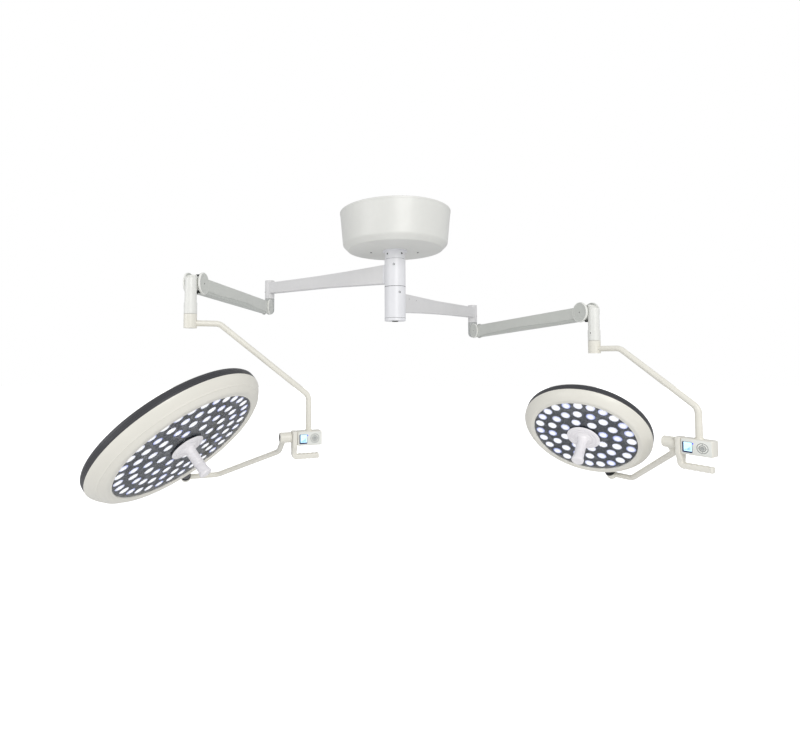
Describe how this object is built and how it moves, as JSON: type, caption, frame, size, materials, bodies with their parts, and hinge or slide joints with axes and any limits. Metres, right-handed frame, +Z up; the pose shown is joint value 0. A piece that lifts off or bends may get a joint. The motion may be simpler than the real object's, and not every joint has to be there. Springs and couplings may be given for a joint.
{
  "type": "surgical light",
  "caption": "Ceiling-mounted surgical light with a large and a small round lamp head, each on an extension arm, a sprung lift arm and a gimbal yoke.",
  "frame": {"origin": "centre of the ceiling flange's top face, on the column's axis", "axes": "+Z up, normal to the ceiling; +X to the right and +Y away from the viewer in the usual front view"},
  "size_m": [2.198, 1.5879, 1.2662],
  "materials": {
    "zinc_steel": "zinc-plated, satin",
    "canopy_paint": "satin powder coat",
    "dark_steel": "blackened socket screws",
    "supply_case": "perforated sheet case",
    "column_paint": "satin powder coat",
    "bronze": "sintered bearing bronze",
    "black_plastic": "moulded plug",
    "arm_paint": "painted aluminium extrusion",
    "knuckle_paint": "satin paint",
    "shell_paint": "satin paint",
    "cover_paint": "moulded cover discs",
    "spring_steel": "oiled spring steel",
    "post_paint": "satin powder coat",
    "cream_paint": "cream powder coat",
    "cream_plastic": "moulded, satin gloss",
    "panel_plastic": "printed membrane panel",
    "display_face": "lit display",
    "button_plastic": "soft-touch button",
    "band_plastic": "charcoal moulded band",
    "board_metal": "dark anodised board",
    "lens_optic": "lit lens optics",
    "clear_cover": "clear anti-glare cover",
    "mount_metal": "machined",
    "handle_plastic": "autoclavable moulding"
  },
  "bodies": {
    "column": {"ceiling_flange": "zinc_steel", "canopy_cover": "canopy_paint", "canopy_screws": "dark_steel", "power_supplies": "supply_case", "spindle": "zinc_steel", "spindle_collar": "column_paint", "hub_bushes": "bronze", "spindle_cap": "black_plastic"},
    "large_arm": {"large_hub": "column_paint", "large_extension_arm": "arm_paint"},
    "large_elbow": {"large_rear_knuckle": "knuckle_paint"},
    "large_spring_arm": {"large_arm_shell": "shell_paint", "large_arm_belly": "shell_paint", "large_pivot_pins": "cover_paint", "large_balance_spring": "spring_steel"},
    "large_link": {"large_link_rod": "zinc_steel"},
    "large_post": {"large_front_knuckle": "post_paint"},
    "large_yoke": {"large_yoke_socket": "cream_paint", "large_yoke_tube": "cream_paint", "large_control_box": "cream_paint", "large_box_panel": "panel_plastic", "large_display": "display_face", "large_side_handle": "cream_plastic"},
    "large_button": {"large_power_button": "button_plastic"},
    "large_bow": {"large_tilt_barrel": "cream_paint", "large_lower_bow": "cream_paint"},
    "large_head": {"large_head_back": "cream_plastic", "large_rim_band": "band_plastic", "large_bezel": "cream_plastic", "large_led_board": "board_metal", "large_lenses": "lens_optic", "large_front_glass": "clear_cover", "large_handle_mount": "mount_metal"},
    "large_handle": {"large_sterile_handle": "handle_plastic"},
    "small_arm": {"small_hub": "column_paint", "small_extension_arm": "arm_paint"},
    "small_elbow": {"small_rear_knuckle": "knuckle_paint"},
    "small_spring_arm": {"small_arm_shell": "shell_paint", "small_arm_belly": "shell_paint", "small_pivot_pins": "cover_paint", "small_balance_spring": "spring_steel"},
    "small_link": {"small_link_rod": "zinc_steel"},
    "small_post": {"small_front_knuckle": "post_paint"},
    "small_yoke": {"small_yoke_socket": "cream_paint", "small_yoke_tube": "cream_paint", "small_control_box": "cream_paint", "small_box_panel": "panel_plastic", "small_display": "display_face", "small_side_handle": "cream_plastic"},
    "small_button": {"small_power_button": "button_plastic"},
    "small_bow": {"small_tilt_barrel": "cream_paint", "small_lower_bow": "cream_paint"},
    "small_head": {"small_head_back": "cream_plastic", "small_rim_band": "band_plastic", "small_bezel": "cream_plastic", "small_led_board": "board_metal", "small_lenses": "lens_optic", "small_front_glass": "clear_cover", "small_handle_mount": "mount_metal"},
    "small_handle": {"small_sterile_handle": "handle_plastic"}
  },
  "joints": [
    {"name": "large_arm_swing", "type": "hinge", "parent": "column", "child": "large_arm", "pos_m": [0, 0, -0.248], "axis": [0, 0, 1], "range_deg": [-60, 60]},
    {"name": "large_elbow_swing", "type": "hinge", "parent": "large_arm", "child": "large_elbow", "pos_m": [-0.71826, 0.53732, -0.248], "axis": [0, 0, 1], "range_deg": [-90, 20]},
    {"name": "large_arm_lift", "type": "hinge", "parent": "large_elbow", "child": "large_spring_arm", "pos_m": [-0.72362, 0.48259, -0.414], "axis": [-0.9952, 0.0976, 0], "range_deg": [-44, 20]},
    {"name": "large_link_follow", "type": "hinge", "parent": "large_elbow", "child": "large_link", "pos_m": [-0.72362, 0.48259, -0.432], "axis": [-0.9952, 0.0976, 0], "range_deg": [-44, 20]},
    {"name": "large_post_level", "type": "hinge", "parent": "large_spring_arm", "child": "large_post", "pos_m": [-0.8172, -0.4718, -0.42237], "axis": [-0.9952, 0.0976, 0], "range_deg": [-20, 44]},
    {"name": "large_yoke_swing", "type": "hinge", "parent": "large_post", "child": "large_yoke", "pos_m": [-0.82159, -0.51658, -0.42237], "axis": [0, 0, 1], "range_deg": [-150, 150]},
    {"name": "large_bow_tilt", "type": "hinge", "parent": "large_yoke", "child": "large_bow", "pos_m": [-0.38398, -0.36846, -1.03237], "axis": [0.9472, 0.3206, 0], "range_deg": [-140, 60]},
    {"name": "large_head_turn", "type": "hinge", "parent": "large_bow", "child": "large_head", "pos_m": [-0.93345, -0.22354, -1.22899], "axis": [0.2716, -0.8024, 0.5314], "range_deg": [-120, 120]},
    {"name": "large_handle_turn", "type": "hinge", "parent": "large_head", "child": "large_handle", "pos_m": [-0.79353, -0.53611, -1.07619], "axis": [0.6464, -0.257, -0.7184], "range_deg": [0, 90]},
    {"name": "large_button_press", "type": "slide", "parent": "large_yoke", "child": "large_button", "axis": [-0.3206, 0.9472, 0], "range_m": [0, 0.001], "stiffness_N_per_m": 600, "springref_m": -0.002},
    {"name": "small_arm_swing", "type": "hinge", "parent": "column", "child": "small_arm", "pos_m": [0, 0, -0.379], "axis": [0, 0, 1], "range_deg": [-60, 60]},
    {"name": "small_elbow_swing", "type": "hinge", "parent": "small_arm", "child": "small_elbow", "pos_m": [0.54978, 0.70877, -0.379], "axis": [0, 0, 1], "range_deg": [-15, 90]},
    {"name": "small_arm_lift", "type": "hinge", "parent": "small_elbow", "child": "small_spring_arm", "pos_m": [0.56369, 0.65556, -0.545], "axis": [-0.9675, -0.2529, 0], "range_deg": [-46, 16]},
    {"name": "small_link_follow", "type": "hinge", "parent": "small_elbow", "child": "small_link", "pos_m": [0.56369, 0.65556, -0.563], "axis": [-0.9675, -0.2529, 0], "range_deg": [-46, 16]},
    {"name": "small_post_level", "type": "hinge", "parent": "small_spring_arm", "child": "small_post", "pos_m": [0.80612, -0.27186, -0.51655], "axis": [-0.9675, -0.2529, 0], "range_deg": [-16, 46]},
    {"name": "small_yoke_swing", "type": "hinge", "parent": "small_post", "child": "small_yoke", "pos_m": [0.81751, -0.31539, -0.51655], "axis": [0, 0, 1], "range_deg": [-150, 150]},
    {"name": "small_bow_tilt", "type": "hinge", "parent": "small_yoke", "child": "small_bow", "pos_m": [1.02003, -0.63575, -1.02155], "axis": [0.5344, -0.8453, 0], "range_deg": [-130, 75]},
    {"name": "small_head_turn", "type": "hinge", "parent": "small_bow", "child": "small_head", "pos_m": [0.9432, -0.17678, -1.22251], "axis": [-0.5645, -0.3569, 0.7443], "range_deg": [-120, 120]},
    {"name": "small_handle_turn", "type": "hinge", "parent": "small_head", "child": "small_handle", "pos_m": [0.74668, -0.32651, -1.08059], "axis": [-0.4847, -0.5866, -0.6488], "range_deg": [0, 90]},
    {"name": "small_button_press", "type": "slide", "parent": "small_yoke", "child": "small_button", "axis": [0.8453, 0.5344, 0], "range_m": [0, 0.001], "stiffness_N_per_m": 600, "springref_m": -0.002}
  ],
  "couplings": [
    {"joint": "large_link_follow", "follows": "large_arm_lift", "ratio": 1},
    {"joint": "large_post_level", "follows": "large_arm_lift", "ratio": -1},
    {"joint": "small_link_follow", "follows": "small_arm_lift", "ratio": 1},
    {"joint": "small_post_level", "follows": "small_arm_lift", "ratio": -1}
  ]
}
